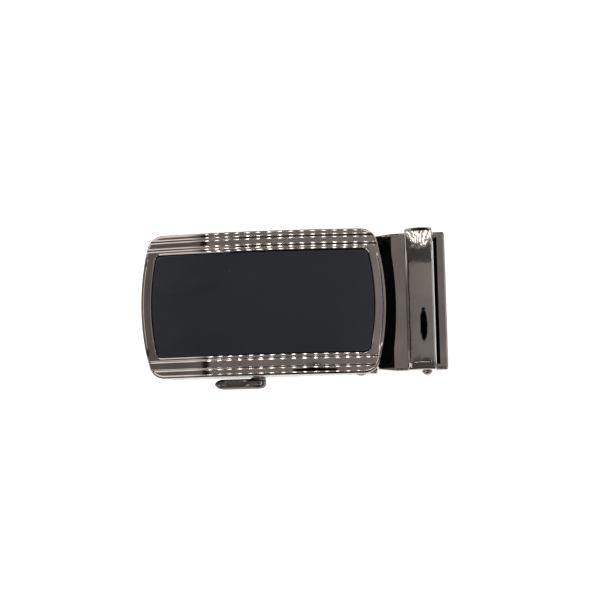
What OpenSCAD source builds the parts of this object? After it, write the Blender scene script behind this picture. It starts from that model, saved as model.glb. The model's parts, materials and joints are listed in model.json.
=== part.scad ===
// Ratchet belt buckle for a 35 mm strap, with a hinged strap clamp and a release lever.
// +X runs from the free-strap end to the clamp end, +Z out of the face.
// The origin is the centre of the face, on the plane that the back lies on.

/* [Face plate] */
// Length of the face over its bowed ends
face_l = 68.6; // [60:0.2:76]
// Width of the face
face_w = 40.2; // [39.8:0.1:42]
// Height of the middle of the face above the back
face_top = 17.4; // [17:0.1:19]
// Radius that the face is bent to along the strap
face_r = 160; // [140:1:200]
// Radius of the slight crown across the strap
crown_r = 700; // [300:50:1000]
// Thickness of the face casting
face_t = 2.4; // [2:0.1:2.8]
// Radius that each end bows out to
end_bow_r = 67; // [60:1:90]
// Radius of the corners in plan
face_corner_r = 4.4; // [3:0.1:5]
// Distance of the two grooves of each side bar from the edge
groove_in = [1.95, 4.25];
// Radius of a groove
groove_r = 0.34; // [0.25:0.01:0.5]
// Bevel of the long edges
edge_bevel = 0.5; // [0.2:0.1:0.8]

/* [Inlay] */
// Length of the inlay panel over its bowed ends
inlay_l = 62.1; // [56:0.1:64]
// Width of the inlay panel
inlay_w = 28.2; // [24:0.1:28.8]
// Thickness of the panel
inlay_t = 1.0; // [0.6:0.1:1.2]
// Thickness of the adhesive under the panel
adhesive_t = 0.2; // [0.1:0.05:0.3]
// Gap all round the panel
inlay_gap = 0.25; // [0.1:0.05:0.3]
// How far the panel lies below the rim
inlay_sink = 0.2; // [0.1:0.05:0.4]

/* [Cheeks and rods] */
// Width of the strap passage between the cheeks
passage_w = 36; // [35.6:0.1:36.2]
// Thickness of each cheek
cheek_t = 1.8; // [1.6:0.1:1.9]
// Half the length of the cheeks under the face
cheek_x = 29.4; // [29:0.1:29.6]
// Place of the entry guide bar, along and up
guide_at = [-25.6, 4.8];
// Radius of the entry guide bar
guide_r = 1.5; // [1.2:0.1:1.8]
// Place of the rod that stops the pawl's heel
stop_at = [-8, 3];
// Radius of the stop rod
stop_r = 1.0; // [0.8:0.1:1.2]

/* [Pawl and lever] */
// Place of the pawl shaft, along and up
shaft_at = [-2.5, 6];
// Radius of the pawl shaft
shaft_r = 1.5; // [1.3:0.1:1.6]
// Length of the pawl from shaft to tip
pawl_l = 12.8; // [11:0.1:13.2]
// Slope of the pawl at rest
pawl_tilt = 26; // [20:1:28]
// Width of the pawl
pawl_w = 34.5; // [33:0.1:34.5]
// Thickness of the pawl plate
pawl_t = 1.5; // [1.2:0.1:1.8]
// Length of the lever from shaft to tip
lever_l = 12.4; // [10:0.1:14]
// Thickness of the lever arm across the strap
lever_t = 2.8; // [2.6:0.1:3.6]
// Height of the lever arm at its hub
lever_h = 4.4; // [4:0.1:5]
// Thickness of the spring wire
wire_d = 0.8; // [0.6:0.1:0.8]

/* [Strap clamp] */
// Place of the hinge between face and clamp, along and up
hinge_at = [26.3, 3.3];
// Radius of the hinge pin
hinge_r = 1.2; // [1:0.1:1.4]
// Free end of the clamp housing
housing_end = 50.8; // [50:0.1:53]
// Width of the clamp housing
housing_w = 38.7; // [38.5:0.1:38.8]
// Inner width of the clamp housing
mouth_w = 35.6; // [35.4:0.1:35.8]
// Height of the clamp housing
housing_h = 7.0; // [6.8:0.1:7.2]
// Thickness of the housing's top plate
plate_t = 1.0; // [0.8:0.1:1.2]
// Place of the clamp pin, along and up
clamp_at = [44.8, 1.6];
// Radius of the clamp pin
clamp_r = 0.8; // [0.7:0.05:0.85]
// Thickness of the clamp flap
flap_t = 1.0; // [0.8:0.1:1.1]
// Teeth in each row of the flap
tooth_count = 9; // [5:1:11]
// Width of the keeper along the strap
keeper_l = 7.7; // [7:0.1:8.6]
// Height of the keeper's crown above the back
keeper_top = 13.6; // [13.4:0.1:14.4]
// Clear height under the keeper, above the housing
keeper_gap = 4.3; // [4.1:0.1:4.4]

/* [Hidden] */

gunmetal = [0.43, 0.385, 0.36];
dark_metal = [0.30, 0.28, 0.27];
steel = [0.66, 0.66, 0.67];
panel_black = [0.19, 0.19, 0.21];

fine_fn = 720;             // facets of the long, flat arcs
round_fn = 64;             // facets of everything else that is round
eps = 0.05;                // overlap that makes a cut or a join clean
running_gap = 0.05;        // radial clearance of a shaft that turns
far = 200;                 // longer than the object, for cutting shapes

axis_z = face_top - face_r;                  // height of the face's axis of bending
inner_r = face_r - face_t;
floor_r = face_r - inlay_sink - inlay_t - adhesive_t;
panel_r = face_r - inlay_sink;
inlay_corner_r = 1.6;
cheek_in = passage_w / 2;
cheek_out = cheek_in + cheek_t;
cheek_corner_r = guide_r + 2.6;
hinge_lobe_r = 4.6;

pin_head_r = 1.5;
hinge_head_h = 0.5;
clamp_head_h = 1.1;

lever_in = 20.4;                             // inner face of the lever arm, from the centre line
lever_hub_in = 20;
tang_w = 2.1;                                // square end of the shaft inside the lever
tang_end = 22.4;
lever_tip_r = 1.7;

barrel_r = shaft_r + 1.1;
heel_w = 12;
heel_l = 6.5;
heel_drop = 12;                              // slope of the heel, falling from the shaft
spring_y = [11.2, 15.6];                     // stretch of the shaft that each spring takes
coil_turns = 5;
coil_r = shaft_r + 0.6;                      // mean radius of the coil
spring_cut_r = 3.4;
hook_end = [-1.1, -2.25];                    // end of a spring's fixed leg, from the stop rod
roll_pin_r = 0.75;
washer_y = [17.35, 17.85];
washer_r = 2.5;

ear_in = 16.2;
ear_out = mouth_w / 2;
wall_start = 31.5;                           // where the housing's side walls begin
floor_start = 23.5;
floor_end = 33.5;
floor_t = 1.2;
plate_bow_r = 100;
plate_edge = 36.8;                           // left edge of the top plate on the centre line
plate_end = 46.2;
lip_start = 48.6;
sill_start = 47.5;
sill_t = 1.0;
keeper_x = 43.6;
keeper_wall = 0.9;
keeper_out = 19.4;
keeper_shoulder = [17.9, 8.6];               // half width of the crown, foot of the shoulder
keeper_crown_r = 120;
keeper_bend_r = 20;
keeper_foot = 0.4;
rivet_at = [41.2, 4.8];
rivet_r = 0.7;

flap_x = [33.6, 47.2];
flap_z = 0.3;
flap_w = 34.6;
barrel_clamp_r = 1.4;
tooth_h = 2.6;
tooth_l = 1.7;
tooth_w = 2;
tooth_rows = [38.9, 41.1];
ledge_l = 5;
ledge_t = 0.8;
ledge_w = 0.7;

// Plan of a plate with straight long sides, bowed ends and rounded corners
module bowed_outline(l, w, bow_r, corner_r) {
    bow_x = bow_r - l / 2;
    corner_y = w / 2 - corner_r;
    corner_x = sqrt(pow(bow_r - corner_r, 2) - pow(corner_y, 2)) - bow_x;
    spread = asin(corner_y / (bow_r - corner_r));
    square([2 * corner_x, w], center = true);
    for (side = [0, 1]) mirror([side, 0]) {
        intersection() {
            translate([-bow_x, 0]) circle(r = bow_r, $fn = fine_fn);
            polygon([[0, -bow_x * tan(spread)], [0, bow_x * tan(spread)],
                     [-bow_x + far * cos(spread), far * sin(spread)],
                     [-bow_x + far * cos(spread), -far * sin(spread)]]);
        }
        for (end = [-1, 1])
            translate([corner_x, end * corner_y]) circle(r = corner_r, $fn = round_fn);
    }
}

// Turns a (radius, across) profile about the axis that the face is bent round
module bent(half_angle = 14) {
    translate([0, 0, axis_z])
        rotate([-90, 0, 0])
            rotate([0, 0, -90 - half_angle])
                rotate_extrude(angle = 2 * half_angle, $fn = fine_fn) children();
}

// A rod across the strap, from y0 to y1, at (along, up)
module cross_rod(at, r, y0, y1) {
    translate([at.x, y1, at.y]) rotate([90, 0, 0]) cylinder(r = r, h = y1 - y0, $fn = round_fn);
}

// Extrudes an (along, up) profile across the strap, from y0 to y1
module across(y0, y1) {
    translate([0, y1, 0]) rotate([90, 0, 0]) linear_extrude(y1 - y0) children();
}

// A rod with a domed head on its lever-side end
module headed_pin(at, r, y_far, y_near, head_h) {
    dome_r = (pow(pin_head_r, 2) + pow(head_h, 2)) / (2 * head_h);
    cross_rod(at, r, -y_near, y_far);
    translate([at.x, -y_near, at.y]) rotate([90, 0, 0])
        rotate_extrude($fn = round_fn)
            intersection() {
                square([pin_head_r, head_h]);
                translate([0, head_h - dome_r]) circle(r = dome_r, $fn = round_fn);
            }
}

// Section of the face across the strap: crowned, bevelled and grooved along both side bars
module face_section() {
    half = face_w / 2;
    difference() {
        intersection() {
            translate([inner_r, -half]) square([face_t, face_w]);
            translate([face_r - crown_r, 0]) circle(r = crown_r, $fn = fine_fn);
        }
        for (side = [-1, 1]) {
            edge_r = face_r - pow(half, 2) / (2 * crown_r);
            translate([edge_r, side * half]) rotate(45)
                square(edge_bevel * sqrt(2), center = true);
            for (d = groove_in)
                translate([face_r - pow(half - d, 2) / (2 * crown_r), side * (half - d)])
                    circle(r = groove_r, $fn = 24);
        }
    }
}

// Side view of a cheek: a deep plate under the face with a lobe round the hinge
module cheek_profile() {
    intersection() {
        translate([0, axis_z]) circle(r = face_r - face_t / 2, $fn = fine_fn);
        union() {
            translate([-cheek_x, cheek_corner_r]) square([2 * cheek_x, face_top]);
            translate([cheek_corner_r - cheek_x, 0])
                square([cheek_x - cheek_corner_r + hinge_at.x, face_top]);
            translate([cheek_corner_r - cheek_x, cheek_corner_r])
                circle(r = cheek_corner_r, $fn = round_fn);
            intersection() {
                translate(hinge_at) circle(r = hinge_lobe_r, $fn = round_fn);
                square([far, far]);
            }
        }
    }
}

module face_shell() color(gunmetal) {
    difference() {
        union() {
            intersection() {
                bent() face_section();
                linear_extrude(face_top + 1)
                    bowed_outline(face_l, face_w, end_bow_r, face_corner_r);
            }
            for (side = [-1, 1])
                across(side > 0 ? cheek_in : -cheek_out, side > 0 ? cheek_out : -cheek_in)
                    cheek_profile();
        }
        intersection() {
            bent() translate([floor_r, -inlay_w]) square([face_t, 2 * inlay_w]);
            linear_extrude(face_top + 1) inlay_outline(inlay_gap);
        }
        cross_rod(guide_at, guide_r, -face_w, face_w);
        cross_rod(stop_at, stop_r, -face_w, face_w);
        cross_rod(shaft_at, shaft_r + running_gap, -face_w, face_w);
        cross_rod(hinge_at, hinge_r, -face_w, face_w);
    }
}

// Plan of the inlay, grown by a gap all round
module inlay_outline(grow) {
    bowed_outline(inlay_l + 2 * grow, inlay_w + 2 * grow, end_bow_r - 3, inlay_corner_r + grow);
}

module inlay_layer(r_low, r_high) {
    intersection() {
        bent() translate([r_low, -inlay_w]) square([r_high - r_low, 2 * inlay_w]);
        linear_extrude(face_top + 1) inlay_outline(0);
    }
}

module inlay_panel() color(panel_black) inlay_layer(floor_r + adhesive_t, panel_r);

module inlay_adhesive() color("dimgray") inlay_layer(floor_r, floor_r + adhesive_t);

module entry_guide_bar() color(steel) cross_rod(guide_at, guide_r, -cheek_out, cheek_out);

module pawl_stop_rod() color(steel) cross_rod(stop_at, stop_r, -cheek_out, cheek_out);

module hinge_pin() color(gunmetal) headed_pin(hinge_at, hinge_r, cheek_out, cheek_out, hinge_head_h);

// Places children with +X along the pawl and the shaft at the origin
module on_pawl() {
    translate([shaft_at.x, 0, shaft_at.y]) rotate([0, -pawl_tilt, 0]) children();
}

module roll_pin_hole() {
    on_pawl() cylinder(r = roll_pin_r, h = 2 * barrel_r, center = true, $fn = round_fn);
}

module pawl_shaft() color(steel) {
    difference() {
        union() {
            cross_rod(shaft_at, shaft_r, -lever_hub_in, cheek_out - 0.1);
            translate([shaft_at.x - tang_w / 2, -tang_end, shaft_at.y - tang_w / 2])
                cube([tang_w, tang_end - lever_hub_in + eps, tang_w]);
        }
        roll_pin_hole();
    }
}

module pawl_plate() color(steel) {
    difference() {
        union() {
            on_pawl() across(-pawl_w / 2, pawl_w / 2) {
                circle(r = barrel_r, $fn = round_fn);
                polygon([[0, -pawl_t / 2], [pawl_l - 0.6, -pawl_t / 2],
                         [pawl_l, pawl_t / 2], [0, pawl_t / 2]]);
            }
            translate([shaft_at.x, 0, shaft_at.y]) rotate([0, -heel_drop, 0])
                across(-heel_w / 2, heel_w / 2)
                    translate([-heel_l, -pawl_t / 2]) square([heel_l, pawl_t]);
        }
        cross_rod(shaft_at, shaft_r, -face_w, face_w);
        for (side = [-1, 1])
            cross_rod(shaft_at, spring_cut_r,
                      side > 0 ? spring_y[0] : -spring_y[1], side > 0 ? spring_y[1] : -spring_y[0]);
        roll_pin_hole();
    }
}

module pawl_roll_pin() color("slategray") {
    on_pawl() cylinder(r = roll_pin_r, h = 2 * barrel_r - 0.2, center = true, $fn = round_fn);
}

module release_lever() color(dark_metal) {
    tip_x = shaft_at.x - lever_l + lever_tip_r;
    hub_r = lever_h / 2;
    difference() {
        union() {
            across(-lever_in - lever_t, -lever_in) {
                translate(shaft_at) circle(r = hub_r, $fn = round_fn);
                translate([tip_x, shaft_at.y + 0.2]) circle(r = lever_tip_r, $fn = round_fn);
                polygon([[shaft_at.x, shaft_at.y + hub_r], [shaft_at.x, shaft_at.y - hub_r],
                         [tip_x, shaft_at.y + 0.2 - lever_tip_r], [tip_x, shaft_at.y + 0.2 + lever_tip_r]]);
            }
            cross_rod(shaft_at, hub_r - 0.1, -lever_in - eps, -lever_hub_in);
        }
        translate([shaft_at.x - tang_w / 2, -tang_end, shaft_at.y - tang_w / 2])
            cube([tang_w, tang_end, tang_w]);
    }
}

module thrust_washers() color(steel) {
    for (side = [0, 1]) mirror([0, side, 0])
        difference() {
            cross_rod(shaft_at, washer_r, washer_y[0], washer_y[1]);
            cross_rod(shaft_at, shaft_r, 0, face_w);
        }
}

// Torsion spring on the +Y side: a close coil, a leg under the stop rod and one under the pawl
module pawl_spring() {
    pitch = wire_d;
    start = spring_y[0] + 0.2;
    last = start + coil_turns * pitch;
    translate([shaft_at.x, start, shaft_at.y]) rotate([-90, 0, 0])
        rotate_extrude($fn = round_fn) {
            for (turn = [0 : coil_turns - 1])
                translate([coil_r, (turn + 0.5) * pitch]) circle(r = wire_d / 2, $fn = 24);
            translate([coil_r - 0.2, pitch / 2]) square([0.4, (coil_turns - 1) * pitch]);
        }
    leg([-0.8, -coil_r - 0.1], stop_at - shaft_at + hook_end, last - pitch / 2);
    rotate_about_shaft(-pawl_tilt)
        leg([1.4, -coil_r], [8.6, -(pawl_t + wire_d) / 2 - 0.1], start + pitch / 2);
}

module rotate_about_shaft(angle) {
    translate([shaft_at.x, 0, shaft_at.y]) rotate([0, angle, 0])
        translate([-shaft_at.x, 0, -shaft_at.y]) children();
}

// A straight leg of spring wire between two (along, up) points, measured from the shaft
module leg(a, b, y) {
    slope = atan2(b.y - a.y, b.x - a.x);
    translate([shaft_at.x + a.x, y, shaft_at.y + a.y]) rotate([0, 90 - slope, 0])
        cylinder(d = wire_d, h = norm(b - a), $fn = 24);
}

module pawl_spring_far_side() color("lightgray") pawl_spring();

module pawl_spring_lever_side() color("lightgray") mirror([0, 1, 0]) pawl_spring();

// Plan of one side wall, thinner where it meets the face
module wall_plan() {
    polygon([[wall_start, ear_out - eps], [housing_end, ear_out - eps], [housing_end, housing_w / 2],
             [36.5, housing_w / 2], [wall_start, housing_w / 2 - 0.6]]);
}

module clamp_housing() color(gunmetal) {
    difference() {
        union() {
            for (side = [0, 1]) mirror([0, side, 0]) {
                linear_extrude(housing_h) wall_plan();
                across(ear_in, ear_out) {
                    translate(hinge_at) circle(r = hinge_at.y, $fn = round_fn);
                    translate([hinge_at.x, 0]) square([floor_end - hinge_at.x, 2 * hinge_at.y]);
                }
                translate([wall_start, ear_in, 0]) cube([floor_end - wall_start, 2.4, housing_h]);
                translate([floor_end - eps, ear_out - ledge_w, flap_z + flap_t + 0.1])
                    cube([ledge_l, ledge_w + eps, ledge_t]);
            }
            translate([0, 0, housing_h - plate_t]) linear_extrude(plate_t) difference() {
                translate([wall_start, -ear_out]) square([plate_end - wall_start, mouth_w]);
                translate([plate_edge - face_l / 2, 0])
                    bowed_outline(face_l, mouth_w - 0.8, plate_bow_r, 2.3);
            }
            translate([lip_start, -ear_out, housing_h - plate_t])
                cube([housing_end - lip_start, mouth_w, plate_t]);
            translate([sill_start, -ear_out, 0]) cube([housing_end - sill_start, mouth_w, sill_t]);
            translate([floor_start, -ear_out, 0]) cube([floor_end - floor_start, mouth_w, floor_t]);
        }
        for (side = [0, 1]) mirror([0, side, 0])
            translate([keeper_x - keeper_l / 2 - 0.1, keeper_out - keeper_wall, -1])
                cube([keeper_l + 0.2, 2, far]);
        cross_rod(hinge_at, hinge_r + running_gap, -face_w, face_w);
        cross_rod(clamp_at, clamp_r, -face_w, face_w);
        cross_rod(rivet_at, rivet_r, -face_w, face_w);
    }
}

// Section of the keeper across the strap: a crowned bar on slanted shoulders and straight legs
module keeper_section() {
    crown_end = keeper_top - pow(keeper_shoulder[0], 2) / (2 * keeper_crown_r);
    clear_z = housing_h + keeper_gap;
    difference() {
        intersection() {
            polygon([[-keeper_out, keeper_foot], [-keeper_out, keeper_shoulder[1]],
                     [-keeper_shoulder[0], crown_end], [-keeper_shoulder[0], keeper_top],
                     [keeper_shoulder[0], keeper_top], [keeper_shoulder[0], crown_end],
                     [keeper_out, keeper_shoulder[1]], [keeper_out, keeper_foot]]);
            translate([0, keeper_top - keeper_crown_r]) circle(r = keeper_crown_r, $fn = fine_fn);
        }
        polygon([[-keeper_out + keeper_wall, -1], [-keeper_out + keeper_wall, keeper_shoulder[1] - 0.3],
                 [-keeper_shoulder[0] + 0.3, clear_z], [keeper_shoulder[0] - 0.3, clear_z],
                 [keeper_out - keeper_wall, keeper_shoulder[1] - 0.3], [keeper_out - keeper_wall, -1]]);
    }
}

module strap_keeper() color(gunmetal) {
    difference() {
        intersection() {
            translate([keeper_x - keeper_l / 2, 0, 0]) rotate([90, 0, 90])
                linear_extrude(keeper_l) keeper_section();
            cross_rod([keeper_x, keeper_top - keeper_bend_r], keeper_bend_r, -face_w, face_w, $fn = 360);
        }
        cross_rod(clamp_at, clamp_r, -face_w, face_w);
        cross_rod(rivet_at, rivet_r, -face_w, face_w);
    }
}

module keeper_rivets() color(steel) {
    for (side = [0, 1]) mirror([0, side, 0]) cross_rod(rivet_at, rivet_r, ear_out, keeper_out);
}

module clamp_pin() color(gunmetal) headed_pin(clamp_at, clamp_r, keeper_out, keeper_out, clamp_head_h);

module clamp_flap() color(dark_metal) {
    half = flap_w / 2;
    pitch = (flap_w - 4) / tooth_count;
    difference() {
        union() {
            translate([flap_x[0], -half, flap_z]) cube([flap_x[1] - flap_x[0], flap_w, flap_t]);
            cross_rod(clamp_at, barrel_clamp_r, -half, half);
            for (row = [0, 1]) for (i = [0 : tooth_count - 1 - row])
                translate([tooth_rows[row], (i - (tooth_count - 1 - row) / 2) * pitch, flap_z + flap_t - eps])
                    across(-tooth_w / 2, tooth_w / 2)
                        polygon([[-tooth_l / 2, 0], [tooth_l / 2, 0], [tooth_l / 2, tooth_h]]);
        }
        cross_rod(clamp_at, clamp_r + running_gap, -face_w, face_w);
        translate([flap_x[0], 0, flap_z - 0.4]) rotate([90, 0, 0])
            cylinder(r = 0.8, h = 8, center = true, $fn = round_fn);
    }
}

face_shell();
inlay_panel();
inlay_adhesive();
entry_guide_bar();
pawl_stop_rod();
hinge_pin();
pawl_shaft();
pawl_plate();
pawl_roll_pin();
release_lever();
thrust_washers();
pawl_spring_lever_side();
pawl_spring_far_side();
clamp_housing();
strap_keeper();
keeper_rivets();
clamp_pin();
clamp_flap();
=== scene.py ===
import json
import math

import bmesh
import bpy
import numpy as np
from mathutils import Matrix, Vector, noise


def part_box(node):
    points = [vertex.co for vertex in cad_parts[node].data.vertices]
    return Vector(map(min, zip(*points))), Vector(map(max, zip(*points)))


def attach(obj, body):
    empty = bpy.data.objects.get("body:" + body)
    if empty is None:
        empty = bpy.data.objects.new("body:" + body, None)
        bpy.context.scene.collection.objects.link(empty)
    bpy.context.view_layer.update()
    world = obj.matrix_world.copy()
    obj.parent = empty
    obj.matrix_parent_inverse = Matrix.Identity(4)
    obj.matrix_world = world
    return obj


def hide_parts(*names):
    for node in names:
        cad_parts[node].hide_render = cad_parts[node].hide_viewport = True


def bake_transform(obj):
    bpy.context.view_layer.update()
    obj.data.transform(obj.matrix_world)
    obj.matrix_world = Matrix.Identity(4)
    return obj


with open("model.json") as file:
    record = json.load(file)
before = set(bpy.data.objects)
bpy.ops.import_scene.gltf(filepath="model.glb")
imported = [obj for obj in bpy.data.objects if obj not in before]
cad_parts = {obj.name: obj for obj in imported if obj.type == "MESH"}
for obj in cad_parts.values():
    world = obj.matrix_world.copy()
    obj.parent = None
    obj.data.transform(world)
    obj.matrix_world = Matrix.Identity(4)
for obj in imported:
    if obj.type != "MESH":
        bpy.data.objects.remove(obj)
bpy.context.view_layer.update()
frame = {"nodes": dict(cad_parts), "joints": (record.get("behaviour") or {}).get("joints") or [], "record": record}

# Looks of a ratchet belt buckle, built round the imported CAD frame.
# Lengths are in mm and become metres (MM) only where an object is made.
# +X runs to the clamp end, +Y away from the release lever, +Z out of the face.
MM = 0.001
BODY_OF = {node: body for body, nodes in frame["record"]["behaviour"]["bodies"].items() for node in nodes}
JOINT_AT = {j["name"]: [c / MM for c in j["pos_m"]] for j in frame["joints"]}


def node_box(node):
    """Lowest and highest corner of a CAD node, in mm."""
    low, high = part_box(node)
    return [c / MM for c in low], [c / MM for c in high]


# ---------------------------------------------------------------- materials

def link_chain(tree, *steps):
    """Links (node, output, node, input) steps."""
    for source, output, target, name in steps:
        tree.links.new(source.outputs[output], target.inputs[name])


def base_material(name, colour, metallic, roughness):
    """A material with a Principled shader: returns (material, its node tree, the shader)."""
    material = bpy.data.materials.new(name)
    material.use_nodes = True
    tree = material.node_tree
    shader = tree.nodes["Principled BSDF"]
    shader.inputs["Base Color"].default_value = (*colour, 1)
    shader.inputs["Metallic"].default_value = metallic
    shader.inputs["Roughness"].default_value = roughness
    material.diffuse_color = (*colour, 1)
    return material, tree, shader


def noise_texture(tree, per_mm, detail=3, stretch=(1, 1, 1)):
    """Noise that repeats about per_mm times a millimetre, stretched along the axes."""
    place = tree.nodes.new("ShaderNodeTexCoord")
    mapping = tree.nodes.new("ShaderNodeMapping")
    mapping.inputs["Scale"].default_value = stretch
    texture = tree.nodes.new("ShaderNodeTexNoise")
    texture.inputs["Scale"].default_value = per_mm / MM
    texture.inputs["Detail"].default_value = detail
    link_chain(tree, (place, "Object", mapping, "Vector"), (mapping, "Vector", texture, "Vector"))
    return texture


def ranged(tree, texture, low, high, start=0.35, end=0.65):
    """The texture's value between start and end, turned into low to high."""
    node = tree.nodes.new("ShaderNodeMapRange")
    node.inputs["From Min"].default_value = start
    node.inputs["From Max"].default_value = end
    node.inputs["To Min"].default_value = low
    node.inputs["To Max"].default_value = high
    link_chain(tree, (texture, "Fac", node, "Value"))
    return node


def colour_between(tree, factor, low, high):
    """A colour that goes from low to high as the factor node's value goes from 0 to 1."""
    mix = tree.nodes.new("ShaderNodeMix")
    mix.data_type = "RGBA"
    mix.inputs["A"].default_value = (*low, 1)
    mix.inputs["B"].default_value = (*high, 1)
    tree.links.new(factor.outputs[0], mix.inputs["Factor"])
    return mix


def bump(tree, shader, texture, height):
    """Raises the surface by the texture, height mm from black to white."""
    node = tree.nodes.new("ShaderNodeBump")
    node.inputs["Distance"].default_value = height * MM
    link_chain(tree, (texture, "Fac", node, "Height"), (node, "Normal", shader, "Normal"))
    return node


def plated_metal(name, colour, roughness, spread, scratch=0.02, cloud=0.12, ripple=0.0, matt_end=None):
    """Plated metal: cloudy tone, scratches along the strap, a fine grain and, with ripple, orange peel.

    matt_end is (start, end, by): the metal grows rougher between two places across the strap."""
    material, tree, shader = base_material(name, colour, 1.0, roughness)
    clouds = ranged(tree, noise_texture(tree, 0.11, 4), 0, 1)
    tones = [tuple(c * (1 + side * cloud) for c in colour) for side in (-1, 1)]
    tone = colour_between(tree, clouds, *tones)
    scratches = noise_texture(tree, 3.2, 3, (0.035, 1, 1))
    worn = ranged(tree, scratches, roughness - spread, roughness + spread, 0.3, 0.72)
    link_chain(tree, (tone, "Result", shader, "Base Color"), (worn, "Result", shader, "Roughness"))
    if matt_end:
        place, axes = (tree.nodes.new(kind) for kind in ("ShaderNodeTexCoord", "ShaderNodeSeparateXYZ"))
        dulled, rougher = (tree.nodes.new(kind) for kind in ("ShaderNodeMapRange", "ShaderNodeMath"))
        for socket, value in zip(("From Min", "From Max", "To Max"), matt_end):
            dulled.inputs[socket].default_value = value
        link_chain(tree, (place, "Object", axes, "Vector"), (axes, "Y", dulled, "Value"),
                   (dulled, "Result", rougher, 0), (worn, "Result", rougher, 1),
                   (rougher, "Value", shader, "Roughness"))
    grain = bump(tree, shader, noise_texture(tree, 1.2, 2), scratch * 0.015)
    if ripple:
        peel = tree.nodes.new("ShaderNodeBump")
        peel.inputs["Distance"].default_value = ripple * MM
        link_chain(tree, (noise_texture(tree, 0.9, 2), "Fac", peel, "Height"),
                   (peel, "Normal", grain, "Normal"))
    return material


def turned_steel(name, colour, roughness, scratch_axis):
    """Drawn or turned steel with fine lines across its scratch axis."""
    stretch = [1.0, 1.0, 1.0]
    stretch[scratch_axis] = 0.03
    material, tree, shader = base_material(name, colour, 1.0, roughness)
    lines = noise_texture(tree, 4.0, 3, stretch)
    spots = ranged(tree, noise_texture(tree, 0.35, 4), 0, 1)
    tone = colour_between(tree, spots, tuple(c * 0.82 for c in colour), colour)
    worn = ranged(tree, lines, roughness * 0.7, roughness * 1.5)
    link_chain(tree, (tone, "Result", shader, "Base Color"), (worn, "Result", shader, "Roughness"))
    bump(tree, shader, lines, 0.004)
    return material


def black_inlay(name):
    """Black semi-matte plate with a soft sheen, cloudy gloss and a few pale specks of dust."""
    material, tree, shader = base_material(name, (0.002, 0.003, 0.008), 0.0, 0.25)
    shader.inputs["IOR"].default_value = 1.46
    clouds = ranged(tree, noise_texture(tree, 0.06, 5), 0, 1)
    tone = colour_between(tree, clouds, (0.0048, 0.0058, 0.0098), (0.0062, 0.0074, 0.012))
    specks = ranged(tree, noise_texture(tree, 1.7, 1), 0, 1, 0.80, 0.86)
    dusty = tree.nodes.new("ShaderNodeMix")
    dusty.data_type = "RGBA"
    dusty.inputs["B"].default_value = (0.10, 0.105, 0.115, 1)
    link_chain(tree, (specks, "Result", dusty, "Factor"), (tone, "Result", dusty, "A"),
               (dusty, "Result", shader, "Base Color"))
    worn = ranged(tree, noise_texture(tree, 0.5, 5, (0.3, 1, 1)), 0.23, 0.27)
    link_chain(tree, (worn, "Result", shader, "Roughness"))
    bump(tree, shader, noise_texture(tree, 5.0, 2), 0.0012)
    return material


def adhesive_film(name):
    """Grey double-sided tape."""
    material, tree, shader = base_material(name, (0.18, 0.18, 0.17), 0.0, 0.6)
    fibres = noise_texture(tree, 2.0, 4)
    tone = colour_between(tree, ranged(tree, fibres, 0, 1), (0.13, 0.13, 0.12), (0.22, 0.22, 0.2))
    link_chain(tree, (tone, "Result", shader, "Base Color"))
    bump(tree, shader, fibres, 0.01)
    return material


GUNMETAL = (0.262, 0.222, 0.203)
materials = {
    "gunmetal": plated_metal("gunmetal", GUNMETAL, 0.05, 0.015),
    "keeper_gunmetal": plated_metal("keeper_gunmetal", (0.262, 0.228, 0.208), 0.05, 0.015, ripple=0.003,
                                    matt_end=(12.5 * MM, 14.5 * MM, 0.02)),
    "dark_gunmetal": plated_metal("dark_gunmetal", (0.125, 0.105, 0.098), 0.14, 0.04),
    # Near-black metal that is painted shade: it darkens gaps, hollows and inner faces that lie in shade.
    "painted_shade_black": plated_metal("painted_shade_black", (0.008, 0.007, 0.007), 0.42, 0.08, scratch=0.2),
    "inlay_black": black_inlay("inlay_black"),
    "adhesive": adhesive_film("adhesive"),
    "steel": turned_steel("steel", (0.55, 0.55, 0.56), 0.28, 1),
    "pawl_steel": turned_steel("pawl_steel", (0.36, 0.35, 0.35), 0.34, 0),
    "spring_wire": turned_steel("spring_wire", (0.5, 0.49, 0.47), 0.24, 1),
}

# ---------------------------------------------------------------- mesh tools


class Shell:
    """Collects vertices, each with a normal, and faces, and makes one closed mesh object of them."""

    def __init__(self):
        self.points, self.normals, self.faces = [], [], []

    def add(self, points, normals):
        """Adds an array of points and one of normals; returns their indices in the same shape."""
        shape = points.shape[:-1]
        index = np.arange(int(np.prod(shape))).reshape(shape) + sum(len(p) for p in self.points)
        self.points.append(points.reshape(-1, 3))
        self.normals.append(unit(normals).reshape(-1, 3))
        return index

    def quads(self, index, keep=None, flip=False, ring=False):
        """Faces between neighbouring vertices of a 2-D array of indices."""
        if ring:
            index = np.concatenate([index, index[:, :1]], axis=1)
        a, b, c, d = index[:-1, :-1], index[:-1, 1:], index[1:, 1:], index[1:, :-1]
        faces = np.stack([a, d, c, b] if flip else [a, b, c, d], axis=-1)
        self.faces += (faces[keep] if keep is not None else faces.reshape(-1, 4)).tolist()

    def object(self, name, material):
        points, normals = np.concatenate(self.points), np.concatenate(self.normals)
        for i, face in enumerate(self.faces):
            corners = points[face[:3]]
            turned = np.cross(corners[1] - corners[0], corners[2] - corners[0]) @ normals[face].sum(axis=0)
            self.faces[i] = face[::-1] if turned < 0 else face
        mesh = bpy.data.meshes.new(name)
        mesh.from_pydata((points * MM).tolist(), [], self.faces)
        mesh.validate()
        mesh.shade_smooth()
        mesh.normals_split_custom_set_from_vertices(normals.tolist())
        return new_object(name, mesh, material)


def unit(vectors):
    return vectors / np.maximum(np.linalg.norm(vectors, axis=-1, keepdims=True), 1e-9)


def new_object(name, data, material=None):
    thing = bpy.data.objects.new(name, data)
    bpy.context.scene.collection.objects.link(thing)
    if material:
        data.materials.append(material)
    return thing


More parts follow.
